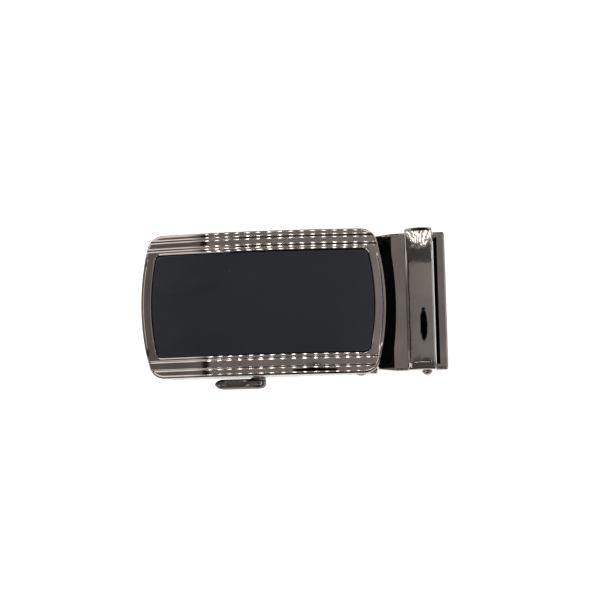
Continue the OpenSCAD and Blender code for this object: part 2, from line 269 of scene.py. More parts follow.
def stand_in(piece, node):
    """The piece stands for a CAD node: it rides on the node's body and the node is hidden."""
    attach(piece, BODY_OF[node])
    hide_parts(node)
    return piece


def edge_loop(index):
    """Indices round the border of a 2-D array, once round."""
    return np.concatenate([index[0, :-1], index[:-1, -1], index[-1, :0:-1], index[:0:-1, 0]])


def mirrored(values):
    """Rising values from 0 up, with their negatives in front."""
    values = np.asarray(values)
    return np.concatenate([-values[:0:-1], values])


def round_drop(depth, radius):
    """How far a rounded edge falls below the surface, depth inside the edge."""
    away = np.clip(radius - np.maximum(depth, 0), 0, radius)
    return radius - np.sqrt(radius ** 2 - away ** 2)


def fall_table(knots, slopes, reach=8.0):
    """Integrates a slope given at rising knots: a function that is 0 beyond them and falls before them."""
    grid = np.linspace(knots[0], reach, 4001)
    slope = np.interp(grid, knots, slopes, right=0)
    height = np.concatenate([[0], np.cumsum((slope[1:] + slope[:-1]) / 2 * np.diff(grid))])
    return lambda t: np.interp(t, grid, height - height[-1])


class Outline:
    """Plan of a plate with straight long sides, bowed ends and rounded corners."""

    def __init__(self, length, width, bow_r, corner_r):
        self.half_w, self.bow_r, self.corner_r = width / 2, bow_r, corner_r
        self.bow_x = bow_r - length / 2
        self.corner_y = width / 2 - corner_r
        self.corner_x = math.sqrt((bow_r - corner_r) ** 2 - self.corner_y ** 2) - self.bow_x
        self.bow_y = self.corner_y * bow_r / (bow_r - corner_r)

    def end(self, y):
        """Half the length at y."""
        y = min(abs(y), self.half_w)
        if y <= self.bow_y:
            return math.sqrt(self.bow_r ** 2 - y ** 2) - self.bow_x
        return self.corner_x + math.sqrt(max(self.corner_r ** 2 - (y - self.corner_y) ** 2, 0))

    def depth(self, x, y):
        """Distance inside the outline, negative outside."""
        x, y = np.abs(x), np.abs(y)
        side = self.half_w - y
        end = self.bow_r - np.hypot(x + self.bow_x, y)
        corner = self.corner_r - np.hypot(x - self.corner_x, y - self.corner_y)
        turned = y * (self.corner_x + self.bow_x) > self.corner_y * (x + self.bow_x)
        return np.where((x > self.corner_x) & turned, corner, np.minimum(side, end))


def slopes_of(height, x, y, step=0.002):
    """Slopes of a height function along x and y."""
    along = (height(x + step, y) - height(x - step, y)) / (2 * step)
    across = (height(x, y + step) - height(x, y - step)) / (2 * step)
    return along, across


def facing(height, x, y, up=1):
    """Normals of a height function, upwards or downwards."""
    along, across = slopes_of(height, x, y)
    return unit(np.stack([-along * up, -across * up, np.full(x.shape, float(up))], axis=-1))


def outward(outline, x, y):
    """Level unit vectors that point straight out of an outline."""
    along, across = slopes_of(outline.depth, x, y)
    return unit(np.stack([-along, -across, np.zeros(x.shape)], axis=-1))


def at_height(x, y, z):
    return np.stack([x, y, z], axis=-1)


# ---------------------------------------------------------------- face plate and inlay

FACE_R = 160            # the face is bent along the strap to this radius
CROWN_R = 1500          # and slightly crowned across it
FACE_T = 2.4
PANEL_SINK = 0.2
PANEL_T = 1.0
TAPE_T = 0.2
POCKET_GAP = 0.25
INLAY_CORNER_R = 1.6
EDGE_ROUND = 0.2
RIM_ROUND = 0.08

inlay_high = node_box("inlay_panel")[1]
face_top = inlay_high[2] + PANEL_SINK
face_low, face_high = node_box("face_shell")
face_l = -2 * face_low[0]
face_w = 2 * face_high[1]
inlay_l = 2 * inlay_high[0]
inlay_w = 2 * inlay_high[1]
AXIS_Z = face_top - FACE_R

face_plan = Outline(face_l, face_w, 67, 4.4)
inlay_plan = Outline(inlay_l, inlay_w, 64, INLAY_CORNER_R)
pocket_plan = Outline(inlay_l + 2 * POCKET_GAP, inlay_w + 2 * POCKET_GAP, 64, INLAY_CORNER_R + POCKET_GAP)


class Relief:
    """Steps down to the outside, worn edge and pocket rim, each as slopes at distances from it."""

    def __init__(self, steps_in, step, edge, rim):
        self.steps_in = steps_in
        self.step, self.edge, self.rim = (fall_table(*knots) for knots in (step, edge, rim))

    def height(self, from_side, edge, rim):
        steps = sum(self.step(from_side - at) for at in self.steps_in)
        return steps + self.edge(edge) + self.rim(rim)


FAR_BAR = Relief((1.85, 4.28),
                 ((-0.6, -0.53, -0.28, -0.2, 0.2, 0.28, 0.53, 0.6),
                  (0, 0.12, 0.15, 0.5, 0.5, 0.15, 0.12, 0)),
                 ((0, 0.15, 0.22, 0.5, 0.65, 1.0), (0.5, 0.5, 0.155, 0.12, 0.05, 0)),
                 ((0, 0.22, 0.27, 0.5, 0.56, 0.7), (0.65, 0.65, 0.36, 0.325, 0.1, 0)))
LEVER_BAR = Relief((2.34, 4.77),
                   ((-0.47, -0.42, -0.16, -0.08, 0.06, 0.12, 0.2, 0.26),
                    (0, 0.23, 0.262, 0.62, 0.62, 0.262, 0.235, 0)),
                   ((0, 0.45, 0.5, 0.78, 0.85, 1.5, 1.6), (0.7, 0.7, 0.262, 0.23, 0.065, 0.055, 0)),
                   ((0, 0.05, 0.3, 0.43), (0.3, 0.245, 0.205, 0)))
END_RAIL = Relief((), ((0, 1), (0, 0)),
                  ((0, 0.1, 0.14, 0.6, 0.62, 0.92, 0.94, 1.15), (0.8, 0.8, 0.04, 0.03, 0.75, 0.75, 0.03, 0)),
                  ((0, 0.05, 0.26, 0.31), (0.54, 0.52, 0.5, 0)))


def bent(radius, x):
    """Height of a sheet bent to a radius about the face's axis."""
    return AXIS_Z + np.sqrt(radius ** 2 - x ** 2)


def face_height(x, y):
    """Top of the face: bent, crowned, stepped down along both side bars, with rounded rims."""
    from_side = face_plan.half_w - np.abs(y)
    edge = face_plan.depth(x, y)
    rim = -pocket_plan.depth(x, y)
    bar = np.clip((np.abs(y) - 11) / 3, 0, 1)
    relief = (1 - bar) * END_RAIL.height(from_side, edge, rim)
    for side, side_bar in ((1, FAR_BAR), (-1, LEVER_BAR)):
        relief = relief + bar * (y * side > 0) * side_bar.height(from_side, edge, rim)
    rounding = round_drop(edge, EDGE_ROUND) + round_drop(rim, RIM_ROUND)
    return bent(FACE_R - y ** 2 / (2 * CROWN_R), x) + relief - rounding


def under_height(x, y):
    return bent(FACE_R - FACE_T, x) + 0 * y


def floor_height(x, y):
    return bent(FACE_R - PANEL_SINK - PANEL_T - TAPE_T, x) + 0 * y


ROUND_STEPS = (0, 0.01, 0.03, 0.06, 0.1, 0.15, 0.2)
EDGE_STEPS = ROUND_STEPS + (0.26, 0.33, 0.4, 0.45, 0.52, 0.6, 0.62, 0.68, 0.74, 0.82, 0.92, 0.94,
                            1.1, 1.3, 1.5, 1.6)
RIM_STEPS = (0, 0.02, 0.05, 0.08, 0.13, 0.19, 0.25, 0.3, 0.36, 0.43, 0.5, 0.58, 0.7)
STEP_STEPS = (0, 0.06, 0.12, 0.17, 0.22, 0.28, 0.32, 0.36, 0.42, 0.47, 0.53, 0.6)
MIDDLE = 30


def half_rows(relief):
    """Distances of one side's rows from the middle: fine at the edge, the steps, the rim and the corners."""
    rim_in = face_plan.half_w - pocket_plan.half_w
    ins = set(EDGE_STEPS)
    ins |= {at + side * s for at in relief.steps_in for s in STEP_STEPS for side in (-1, 1)}
    ins |= {sum(relief.steps_in) / 2} | {rim_in - s for s in RIM_STEPS}
    corner = [rim_in + pocket_plan.corner_r * (1 - math.cos(math.radians(a))) for a in range(12, 91, 13)]
    ins |= set(corner) | set(np.linspace(corner[-1] + 0.9, face_plan.half_w, 15))
    halves = sorted(face_plan.half_w - s for s in ins if s >= 0)
    return np.array([h for i, h in enumerate(halves) if h > 1e-6 and (i == 0 or h - halves[i - 1] > 0.004)])


def face_rows():
    """Places of the face's rows across the strap."""
    return np.concatenate([-half_rows(LEVER_BAR)[::-1], [0.0], half_rows(FAR_BAR)])


def face_columns(y):
    """Places of the columns at y, the pocket's end among them."""
    end = face_plan.end(y)
    past = (abs(y) - pocket_plan.half_w) / (face_plan.half_w - pocket_plan.half_w)
    waist = pocket_plan.end(y) if past <= 0 else pocket_plan.corner_x - 3.2 * past ** 2
    rim = waist + np.array(RIM_STEPS)
    edge = end - np.array(EDGE_STEPS[::-1])
    bridge = np.linspace(rim[-1], edge[0], 5)[1:-1]
    return mirrored(np.concatenate([np.linspace(0, waist, MIDDLE // 2 + 1), rim[1:], bridge, edge]))


def face_plate():
    """The casting's plate: a closed shell with the stepped top, the pocket and the plain back."""
    shell = Shell()
    rows = face_rows()
    x = np.array([face_columns(y) for y in rows])
    y = np.repeat(rows[:, None], x.shape[1], axis=1)
    top = shell.add(at_height(x, y, face_height(x, y)), facing(face_height, x, y))
    row_in = np.abs(rows) < pocket_plan.half_w + 1e-6
    first, last = np.flatnonzero(row_in)[[0, -1]]
    centre = x.shape[1] // 2
    left, right = centre - MIDDLE // 2, centre + MIDDLE // 2
    inside = np.zeros(top.shape, bool)
    inside[first:last, left:right] = True
    shell.quads(top, keep=~inside[:-1, :-1])
    pocket = len(shell.faces)
    px, py = x[first:last + 1, left:right + 1], y[first:last + 1, left:right + 1]
    floor = shell.add(at_height(px, py, floor_height(px, py)), facing(floor_height, px, py))
    shell.quads(floor)
    walls = np.stack([edge_loop(top[first:last + 1, left:right + 1]), edge_loop(floor)])
    shell.quads(walls, ring=True, flip=True)
    pocket = range(pocket, len(shell.faces))

    chamfer, reach = 0.12, 0.6
    out = outward(face_plan, x, y)
    depth = np.clip(face_plan.depth(x, y), 0, reach)
    shift = chamfer * (1 - depth / reach)
    ux, uy = x - out[..., 0] * shift, y - out[..., 1] * shift
    under = shell.add(at_height(ux, uy, under_height(ux, uy)), facing(under_height, ux, uy, -1))
    shell.quads(under, flip=True)
    bx, by = edge_loop(x), edge_loop(y)
    skirt = shell.add(at_height(bx, by, under_height(bx, by) + chamfer), outward(face_plan, bx, by))
    shell.quads(np.stack([edge_loop(top), skirt, edge_loop(under)]), ring=True, flip=True)
    plate = shell.object("face_plate", materials["gunmetal"])
    # The pocket's floor and walls get near-black painted shade, for the dark gap round the inlay.
    plate.data.materials.append(materials["painted_shade_black"])
    for k in pocket:
        plate.data.polygons[k].material_index = 1
    return plate


def inlay():
    """The inlay panel: a bent plate with softly rounded edges."""
    radius, edge_round = FACE_R - PANEL_SINK, 0.14
    steps = [s * edge_round / EDGE_ROUND for s in ROUND_STEPS]

    def height(x, y):
        return bent(radius, x) - round_drop(inlay_plan.depth(x, y), edge_round)

    def back(x, y):
        return bent(radius - PANEL_T, x) + 0 * y

    shell = Shell()
    corner = [inlay_plan.corner_r * (1 - math.cos(math.radians(a))) for a in range(30, 91, 12)]
    ins = sorted(set(steps) | set(corner) | set(np.linspace(2.2, inlay_plan.half_w, 11)))
    rows = mirrored(sorted(inlay_plan.half_w - s for s in ins))
    x = np.array([mirrored(np.concatenate([np.linspace(0, inlay_plan.end(v) - 0.5, 26),
                                           inlay_plan.end(v) - np.array(steps[::-1])])) for v in rows])
    y = np.repeat(rows[:, None], x.shape[1], axis=1)
    top = shell.add(at_height(x, y, height(x, y)), facing(height, x, y))
    under = shell.add(at_height(x, y, back(x, y)), facing(back, x, y, -1))
    shell.quads(top)
    shell.quads(under, flip=True)
    shell.quads(np.stack([edge_loop(top), edge_loop(under)]), ring=True, flip=True)
    return shell.object("inlay_plate", materials["inlay_black"])


def arc(centre, radius, start, end, count=16):
    """Points on an arc, in degrees."""
    angles = np.radians(np.linspace(start, end, count))
    return [(centre[0] + radius * math.cos(a), centre[1] + radius * math.sin(a)) for a in angles]


def pressed_plate(name, loops, y_low, y_high, rounding, material):
    """A plate across the strap, cut to (along, up) loops, the first outside and the rest holes."""
    curve = bpy.data.curves.new(name + "_curve", "CURVE")
    curve.dimensions = "2D"
    curve.fill_mode = "BOTH"
    curve.extrude = ((y_high - y_low) / 2 - rounding) * MM
    curve.bevel_depth = rounding * MM
    curve.bevel_resolution = 3
    curve.offset = -rounding * MM
    for loop in loops:
        spline = curve.splines.new("POLY")
        spline.points.add(len(loop) - 1)
        spline.use_cyclic_u = True
        for point, (along, up) in zip(spline.points, loop):
            point.co = (along * MM, up * MM, 0, 1)
    flat = new_object(name + "_curve", curve)
    mesh = bpy.data.meshes.new_from_object(flat.evaluated_get(bpy.context.evaluated_depsgraph_get()))
    bpy.data.objects.remove(flat)
    mesh.name = name
    to_middle = Matrix.Translation((0, (y_low + y_high) / 2 * MM, 0))
    mesh.transform(to_middle @ Matrix.Rotation(math.pi / 2, 4, "X"))
    tidy_mesh(mesh)
    mesh.materials.clear()
    return new_object(name, mesh, material)


def tidy_mesh(mesh, merge=1e-6, sharp=35):
    """Joins doubled vertices, turns the faces outwards and keeps true edges sharp."""
    work = bmesh.new()
    work.from_mesh(mesh)
    bmesh.ops.remove_doubles(work, verts=work.verts, dist=merge)
    bmesh.ops.recalc_face_normals(work, faces=work.faces)
    work.to_mesh(mesh)
    work.free()
    mesh.shade_smooth()
    mesh.set_sharp_from_angle(angle=math.radians(sharp))


SLOT_OF = {part["node"]: part["material_slot"] for part in frame["record"]["subparts"]}


def rounded_copy(node, rounding, long_edges=None, long_rounding=0.0, finish=None, painted_shade_black=None, cuts=()):
    """A copy of a CAD node with its sharp edges rounded, and chosen long edges rounded more.

    Faces whose middle the painted-shade test picks get the near-black painted shade; cuts are planes, as (point,
    direction), that divide faces for it."""
    work = bmesh.new()
    work.from_mesh(frame["nodes"][node].data)
    bmesh.ops.remove_doubles(work, verts=work.verts, dist=2e-6)
    bmesh.ops.dissolve_limit(work, angle_limit=math.radians(1), verts=work.verts, edges=work.edges)
    for width, segments, chosen in ((long_rounding, 6, long_edges), (rounding, 3, None)):
        sharp = [e for e in work.edges if e.is_manifold and e.calc_face_angle() > math.radians(28)]
        if width == long_rounding:
            sharp = [e for e in sharp if chosen and chosen(*[v.co / MM for v in e.verts])]
        bmesh.ops.bevel(work, geom=sharp, offset=width * MM, segments=segments, profile=0.5,
                        affect="EDGES", clamp_overlap=True)
    for at, direction in cuts:
        bmesh.ops.bisect_plane(work, geom=[*work.verts, *work.edges, *work.faces],
                               plane_co=Vector(at) * MM, plane_no=direction)
    mesh = bpy.data.meshes.new(node + "_finished")
    work.to_mesh(mesh)
    work.free()
    mesh.shade_smooth()
    piece = new_object(node + "_finished", mesh, materials[finish or SLOT_OF[node]])
    # Faces the test picks take the near-black painted shade.
    if painted_shade_black:
        mesh.materials.append(materials["painted_shade_black"])
        for face in mesh.polygons:
            face.material_index = int(painted_shade_black(face.center / MM))
    piece.modifiers.new("flat_faces", "WEIGHTED_NORMAL").weight = 80
    return stand_in(piece, node)


def rod_of(node):
    """(along, up) of the middle of a round node across the strap, and its radius."""
    low, high = node_box(node)
    return ((low[0] + high[0]) / 2, (low[2] + high[2]) / 2), (high[0] - low[0]) / 2


def cheeks():
    """The two side cheeks under the face, pierced for the rods, the shaft and the hinge pin."""
    cheek_x, cheek_t, corner_r, lobe_r, hinge_r, running_gap = 29.4, 1.8, 4.1, 4.6, 1.2, 0.05
    shaft = (JOINT_AT["lever_release"][0], JOINT_AT["lever_release"][2])
    hinge = (JOINT_AT["clamp_swivel"][0], JOINT_AT["clamp_swivel"][2])
    guide, guide_r = rod_of("entry_guide_bar")
    stop, stop_r = rod_of("pawl_stop_rod")
    shaft_r = node_box("pawl_shaft")[1][0] - shaft[0]
    cheek_out = node_box("entry_guide_bar")[1][1]
    cheek_in = cheek_out - cheek_t
    foot = math.degrees(math.asin(hinge[1] / lobe_r))
    crown = math.degrees(math.acos((cheek_x - hinge[0]) / lobe_r))
    sweep = math.degrees(math.asin(cheek_x / (FACE_R - FACE_T / 2)))
    outside = (arc((corner_r - cheek_x, corner_r), corner_r, 180, 270, 12)
               + arc(hinge, lobe_r, -foot, crown, 24)
               + arc((0, AXIS_Z), FACE_R - FACE_T / 2, 90 - sweep, 90 + sweep, 40))
    bores = [arc(at, r, 0, 352.5, 48) for at, r in
             ((guide, guide_r), (stop, stop_r), (shaft, shaft_r + running_gap), (hinge, hinge_r))]
    for side, name in ((-1, "cheek_lever_side"), (1, "cheek_far_side")):
        low, high = sorted((side * cheek_in, side * cheek_out))
        piece = pressed_plate(name, [outside] + bores, low, high, 0.25, materials["dark_gunmetal"])
        stand_in(piece, "face_shell")


# ---------------------------------------------------------------- keeper, lever and springs

def ring_normals(points):
    """Normals of a tube of closed rings, from its own shape; they point outwards."""
    around = np.roll(points, -1, axis=1) - np.roll(points, 1, axis=1)
    along = np.gradient(points, axis=0)
    normals = unit(np.cross(along, around))
    middle = points.mean(axis=1, keepdims=True)
    return normals if (normals * (points - middle)).sum() > 0 else -normals


def fillet(before, corner, after, radius, count):
    """Points on an arc that rounds a corner of a path."""
    before, corner, after = (np.array(p, float) for p in (before, corner, after))
    a, b = unit(before - corner), unit(after - corner)
    half = math.acos(np.clip(a @ b, -1, 1)) / 2
    reach = radius / math.tan(half)
    centre = corner + unit(a + b) * radius / math.sin(half)
    start, end = corner + a * reach - centre, corner + b * reach - centre
    turn = math.pi - 2 * half
    steps = np.linspace(0, 1, count)
    return [centre + (math.sin((1 - t) * turn) * start + math.sin(t * turn) * end) / math.sin(turn)
            for t in steps]


def half_section(foot, knee, shoulder, top, apex, crown_r, knee_r, shoulder_r):
    """Half of the keeper's section, from the foot of one leg to the apex of the crown."""
    tangent = (apex, shoulder[1] + (shoulder[0] - apex) ** 2 / crown_r)
    knee_arc = fillet(foot, knee, shoulder, knee_r, 8)
    shoulder_arc = fillet(knee, shoulder, tangent, shoulder_r, 12)
    leg = np.linspace(foot, knee_arc[0], 16)[:-1]
    slant = np.linspace(knee_arc[-1], shoulder_arc[0], 12)[1:-1]
    across = np.linspace(shoulder_arc[-1][0], apex, 64)[1:]
    crown = [(y, top - (y - apex) ** 2 / (2 * crown_r)) for y in across]
    return np.array([*leg, *knee_arc, *slant, *shoulder_arc, *crown])


def strap_keeper():
    """The raised loop over the clamp: crowned both ways, shouldered, with an orange-peel skin."""
    low, high = node_box("strap_keeper")
    out, top, foot = high[1], high[2], low[2]
    centre, half = (low[0] + high[0]) / 2, (high[0] - low[0]) / 2
    crown_r, bend_r, wall, clear, lean, twist, flare = 108, 20, 0.9, 11.3, 2.15, 0.45, 0.8
    halves = []
    for side, shoulder_y, knee, knee_r, turn_r in ((1, out - 0.2, (out + flare, 11.5), 0.5, 0.5),
                                                   (-1, out - 2.0, (out, 11.1), 1.0, 2.0)):
        apex = side * lean
        shoulder = (shoulder_y, top - (shoulder_y - apex) ** 2 / (2 * crown_r))
        outer = half_section((out, foot), knee, shoulder, top, apex, crown_r, knee_r, turn_r)
        inner_knee = (knee[0] - wall, min(knee[1] - 0.5, 10.6))
        inner = half_section((out - wall, foot), inner_knee, (out - 1.8, clear), clear, apex, 1e6, 0.3, 0.3)
        halves.append((outer, inner))
    outer, inner = (np.concatenate([far, near[-2::-1] * (-1, 1)]) for far, near in zip(*halves))
    normal = unit(outer - inner)
    crowned = np.clip(normal[:, 1:] * 1.4 - 0.2, 0, 1)

    edge, heel = 0.4, 0.2
    turn = np.radians(np.linspace(0, 90, 7))
    skin = mirrored(np.concatenate([np.linspace(0, half - edge, 14), half - edge + edge * np.sin(turn[1:])]))
    back = mirrored(np.concatenate([np.linspace(0, half - heel, 5), half - heel + heel * np.sin(turn[2::2])]))
    drop = round_drop(half - np.abs(skin), edge)[None] + crowned * (skin[None] - twist) ** 2 / (2 * bend_r)
    rise = np.repeat(round_drop(half - np.abs(back[::-1]), heel)[None], len(outer), axis=0)
    for i, (y, z) in enumerate(outer):
        for k, x in enumerate(skin):
            peel = noise.noise(Vector((x, y, z)) / 1.5) + 0.5 * noise.noise(Vector((x, y + 9, z)) / 0.8)
            drop[i, k] += (0.004 + 0.009 * np.clip((abs(y + 2) - 13) / 4, 0, 1)) * (peel + 1)

    def ring_part(path, shift, x):
        at = path[:, None, :] + normal[:, None, :] * shift[..., None]
        return np.stack([np.broadcast_to(centre + x, shift.shape), at[..., 0], at[..., 1]], axis=-1)

    points = np.concatenate([ring_part(outer, -drop, skin), ring_part(inner, rise, back[::-1])], axis=1)
    shell = Shell()
    index = shell.add(points, ring_normals(points))
    shell.quads(index, ring=True)
    shell.faces += [index[0].tolist(), index[-1, ::-1].tolist()]
    piece = shell.object("keeper_loop", materials["keeper_gunmetal"])
    stand_in(piece, "strap_keeper")


def tapered_ring(hub, hub_r, tip, tip_r, inset, arc_count=28, line_count=110):
    """A loop round two circles, moved in by inset, with points along its straight stretches too."""
    hub, tip = np.array(hub), np.array(tip)
    tilt = math.degrees(math.asin((hub_r - tip_r) / np.linalg.norm(hub - tip)))
    round_hub = np.array(arc(hub, hub_r - inset, -90 - tilt, 90 + tilt, arc_count))
    round_tip = np.array(arc(tip, tip_r - inset, 90 + tilt, 270 - tilt, arc_count))
    upper = np.linspace(round_hub[-1], round_tip[0], line_count)[1:-1]
    lower = np.linspace(round_tip[-1], round_hub[0], line_count)[1:-1]
    return np.concatenate([round_hub, upper, round_tip, lower])


def release_lever():
    """The thumb lever: an arm with a pointed tip, a thumb hollow on top and ribs on its outer side."""
    low, high = node_box("release_lever")
    hub = (JOINT_AT["lever_release"][0], JOINT_AT["lever_release"][2])
    hub_r, tip_r = high[0] - hub[0], 1.7
    tip = (low[0] + tip_r, hub[1] + 0.2)
    outer_y, inner_y = low[1], low[1] + 2.8
    inner_round, outer_round, flat = 0.8, 1.45, 1.62
    hollow, rib_pitch, rib_depth, point = 0.42, 0.55, 0.13, 2.6
    turn = np.radians(np.linspace(0, 90, 9))
    stations = [(inner_y, q) for q in np.linspace(flat, inner_round, 4)[:-1]]
    stations += [(inner_y - inner_round * (1 - math.cos(a)), inner_round * (1 - math.sin(a))) for a in turn]
    stations += [(outer_y + outer_round * (1 - math.sin(a)), outer_round * (1 - math.cos(a))) for a in turn]
    stations += [(outer_y, q) for q in np.linspace(outer_round, flat, 5)[1:]]

    rings = []
    for y, inset in stations:
        loop = tapered_ring(hub, hub_r, tip, tip_r, inset)
        rings.append(np.stack([loop[:, 0], np.full(len(loop), y), loop[:, 1]], axis=-1))
    points = np.array(rings)
    normals = ring_normals(points)
    x, y = points[..., 0], points[..., 1]
    length = hub[0] - tip[0]
    along = np.clip(1 - np.abs((x - tip[0]) / length - 0.42) / 0.36, 0, 1)
    across = np.clip(1 - np.abs(y - inner_y + 1.25) / 1.05, 0, 1)
    smooth = [t * t * (3 - 2 * t) for t in (np.clip(along * 2.2, 0, 1), np.clip(across * 1.8, 0, 1))]
    points[..., 2] -= hollow * smooth[0] * smooth[1] * (normals[..., 2] > 0.2)
    ribs = 0.5 - 0.5 * np.cos(2 * math.pi * (x - tip[0]) / rib_pitch)
    side = np.clip((inner_y - 1.5 - y) / 0.7, 0, 1) * np.clip(normals[..., 1] * -1.5, 0, 1)
    ribbed = np.clip((x - tip[0]) / 0.8, 0, 1) * np.clip((hub[0] - 0.6 - x) / 0.8, 0, 1)
    points[..., 1] += rib_depth * ribs * side * ribbed
    middle = (outer_y + inner_y) / 2
    pointed = np.clip((low[0] + point - x) / point, 0, 1) ** 2
    points[..., 1] = middle + (points[..., 1] - middle) * (1 - 0.6 * pointed)
    shell = Shell()
    index = shell.add(points, ring_normals(points))
    shell.quads(index, ring=True)
    shell.faces += [index[0].tolist(), index[-1, ::-1].tolist()]
    arm = shell.object("lever_arm", materials["dark_gunmetal"])
    stand_in(arm, "release_lever")
    collar = [(2.0, high[1]), (2.1, high[1] - 0.1), (2.1, inner_y), (2.1, inner_y - 0.5)]
    neck = turned_piece("lever_neck", collar, hub, materials["dark_gunmetal"])
    stand_in(neck, "release_lever")


def turned_piece(name, profile, at, material, count=64):
    """A closed solid turned about an axis across the strap, from (radius, y) points."""
    angles = np.linspace(0, 2 * math.pi, count, endpoint=False)
    radius, y = np.array(profile).T
    points = np.stack([at[0] + radius[:, None] * np.cos(angles), np.repeat(y[:, None], count, axis=1),
                       at[1] + radius[:, None] * np.sin(angles)], axis=-1)
    shell = Shell()
    index = shell.add(points, ring_normals(points))
    shell.quads(index, ring=True)
    shell.faces += [index[0].tolist(), index[-1, ::-1].tolist()]
    piece = shell.object(name, material)
    tidy_mesh(piece.data)
    return piece


def tube(path, radius, sides=14):
    """Rings of a wire that follows a path, carried along without twist."""
    path = np.array(path)
    along = unit(np.gradient(path, axis=0))
    side = unit(np.cross(along[0], (0.3, 1, 0.2)))
    angles = np.linspace(0, 2 * math.pi, sides, endpoint=False)
    rings = []
    for place, ahead in zip(path, along):
        side = unit(side - ahead * (side @ ahead))
        other = np.cross(ahead, side)
        rings.append(place + radius * (np.cos(angles)[:, None] * side + np.sin(angles)[:, None] * other))
    return np.array(rings)


def pawl_springs():
    """Both torsion springs: one leg under the stop rod, a close coil, one leg under the pawl."""
    shaft = (JOINT_AT["lever_release"][0], JOINT_AT["lever_release"][2])
    wire, coil_r, tilt, turns = 0.39, 2.1, math.radians(26), 4
    leg, drop = 8.6, 1.25
    y_root, y_pawl = 15.0, 11.8
    start = math.radians(-62)
    angles = np.linspace(start, tilt - math.pi / 2 + 2 * math.pi * turns, 36 * turns)
    coil = np.stack([coil_r * np.cos(angles), np.linspace(y_root, y_pawl, len(angles)),
                     coil_r * np.sin(angles)], axis=-1)
    fixed = np.linspace((-6.6, y_root, -5.25), coil[0], 14)[:-1]
    pawl_end = (leg * math.cos(tilt) + drop * math.sin(tilt), y_pawl,
                leg * math.sin(tilt) - drop * math.cos(tilt))
    moving = np.linspace(coil[-1], pawl_end, 14)[1:]
    path = np.concatenate([fixed, coil, moving]) + (shaft[0], 0, shaft[1])
    for side, node in ((-1, "pawl_spring_lever_side"), (1, "pawl_spring_far_side")):
        points = tube(path * (1, side, 1), wire)
        shell = Shell()
        index = shell.add(points, ring_normals(points))
        shell.quads(index, ring=True)
        shell.faces += [index[0].tolist(), index[-1, ::-1].tolist()]
        piece = shell.object(node + "_wire", materials["spring_wire"])
        tidy_mesh(piece.data)
        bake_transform(piece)
        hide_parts(node)


# ---------------------------------------------------------------- the whole object

PLATE_REACH = 14.9          # the housing's top plate reaches this far back from its free end
UNSHADED_ARM_EDGE = 0.85             # width of the housing arms' top edge that keeps plain gunmetal; faces inside it get painted shade
WALL_INSIDE = 1.45          # depth at which the housing's walls end; faces further in and below the top get painted shade
FLAP_GAIN = 0.085           # added to the flap's free end


def softened_edge(a, b):
    """True for the housing's long outer edges at its top, and for the corners of its free end."""
    low, high = node_box("clamp_housing")
    top = all(p[2] > high[2] - 0.05 for p in (a, b))
    along_side = top and all(abs(p[1]) > high[1] - 0.7 for p in (a, b)) and abs(a[0] - b[0]) > 1.5
    across_end = top and all(p[0] > high[0] - 0.05 for p in (a, b))
    corner = all(p[0] > high[0] - 0.05 and abs(p[1]) > high[1] - 0.05 for p in (a, b))
    return along_side or across_end or corner


def painted_shade_inside(middle):
    """True for the housing's inner faces, which get near-black painted shade for its dark interior."""
    low, high = node_box("clamp_housing")
    in_arms = middle[0] < high[0] - PLATE_REACH and abs(middle[1]) < high[1] - UNSHADED_ARM_EDGE
    behind_wall = abs(middle[1]) < high[1] - WALL_INSIDE
    below = behind_wall and middle[2] < high[2] - 0.3 and middle[0] < high[0] - 0.2
    return in_arms or below


def toothed_flap():
    """The flap, its free end brought up to the housing's floor so that no light shows between."""
    # The flap is painted near-black instead of its dark gunmetal slot: painted shade for the gap over it.
    piece = rounded_copy("clamp_flap", 0.03, finish="painted_shade_black")
    end = node_box("clamp_flap")[0][0]
    for vertex in piece.data.vertices:
        if vertex.co.x < (end + 0.2) * MM:
            vertex.co.x -= FLAP_GAIN * MM


stand_in(face_plate(), "face_shell")
stand_in(inlay(), "inlay_panel")
cheeks()
strap_keeper()
release_lever()
pawl_springs()
housing_end, housing_side = node_box("clamp_housing")[1][:2]
# The housing's inner faces get near-black painted shade, for its dark mouth and the shade under its arms.
rounded_copy("clamp_housing", 0.16, softened_edge, 0.55, painted_shade_black=painted_shade_inside,
             cuts=[((housing_end - PLATE_REACH, 0, 0), (1, 0, 0))]
             + [((0, side * (housing_side - UNSHADED_ARM_EDGE), 0), (0, 1, 0)) for side in (-1, 1)])
toothed_flap()
for node, rounding in {"entry_guide_bar": 0.15, "pawl_stop_rod": 0.12, "hinge_pin": 0.1,
                       "pawl_shaft": 0.15, "pawl_plate": 0.12, "pawl_roll_pin": 0.1,
                       "thrust_washers": 0.08, "keeper_rivets": 0.08, "clamp_pin": 0.1}.items():
    rounded_copy(node, rounding)
tape = frame["nodes"]["inlay_adhesive"]
tape.data.materials.clear()
tape.data.materials.append(materials["adhesive"])

# ---------------------------------------------------------------- studio

AIM = Vector((10.75, 0.45, 16)) * MM        # what the camera looks at
CAMERA_TILT = (5.7, -6.0)                   # degrees from overhead, along and across
CAMERA_FAR = 434 * MM
CAMERA_ROLL = 1.93                          # degrees
CAMERA_LENS = 94.5
SENSOR_WIDTH = 36
LENS_R = 0.046                              # metres, of the camera's dark front
ROOF_RADIANCE = 0.53
ROOF_SLOPE = 0.2                            # how the roof brightens towards the clamp end
SIDE_SHADE = 0.4                            # how much darker the long sides are than the roof
END_RADIANCE = 2.9
ROOF_STEP = 0.12                            # how much darker the roof is beyond the seam
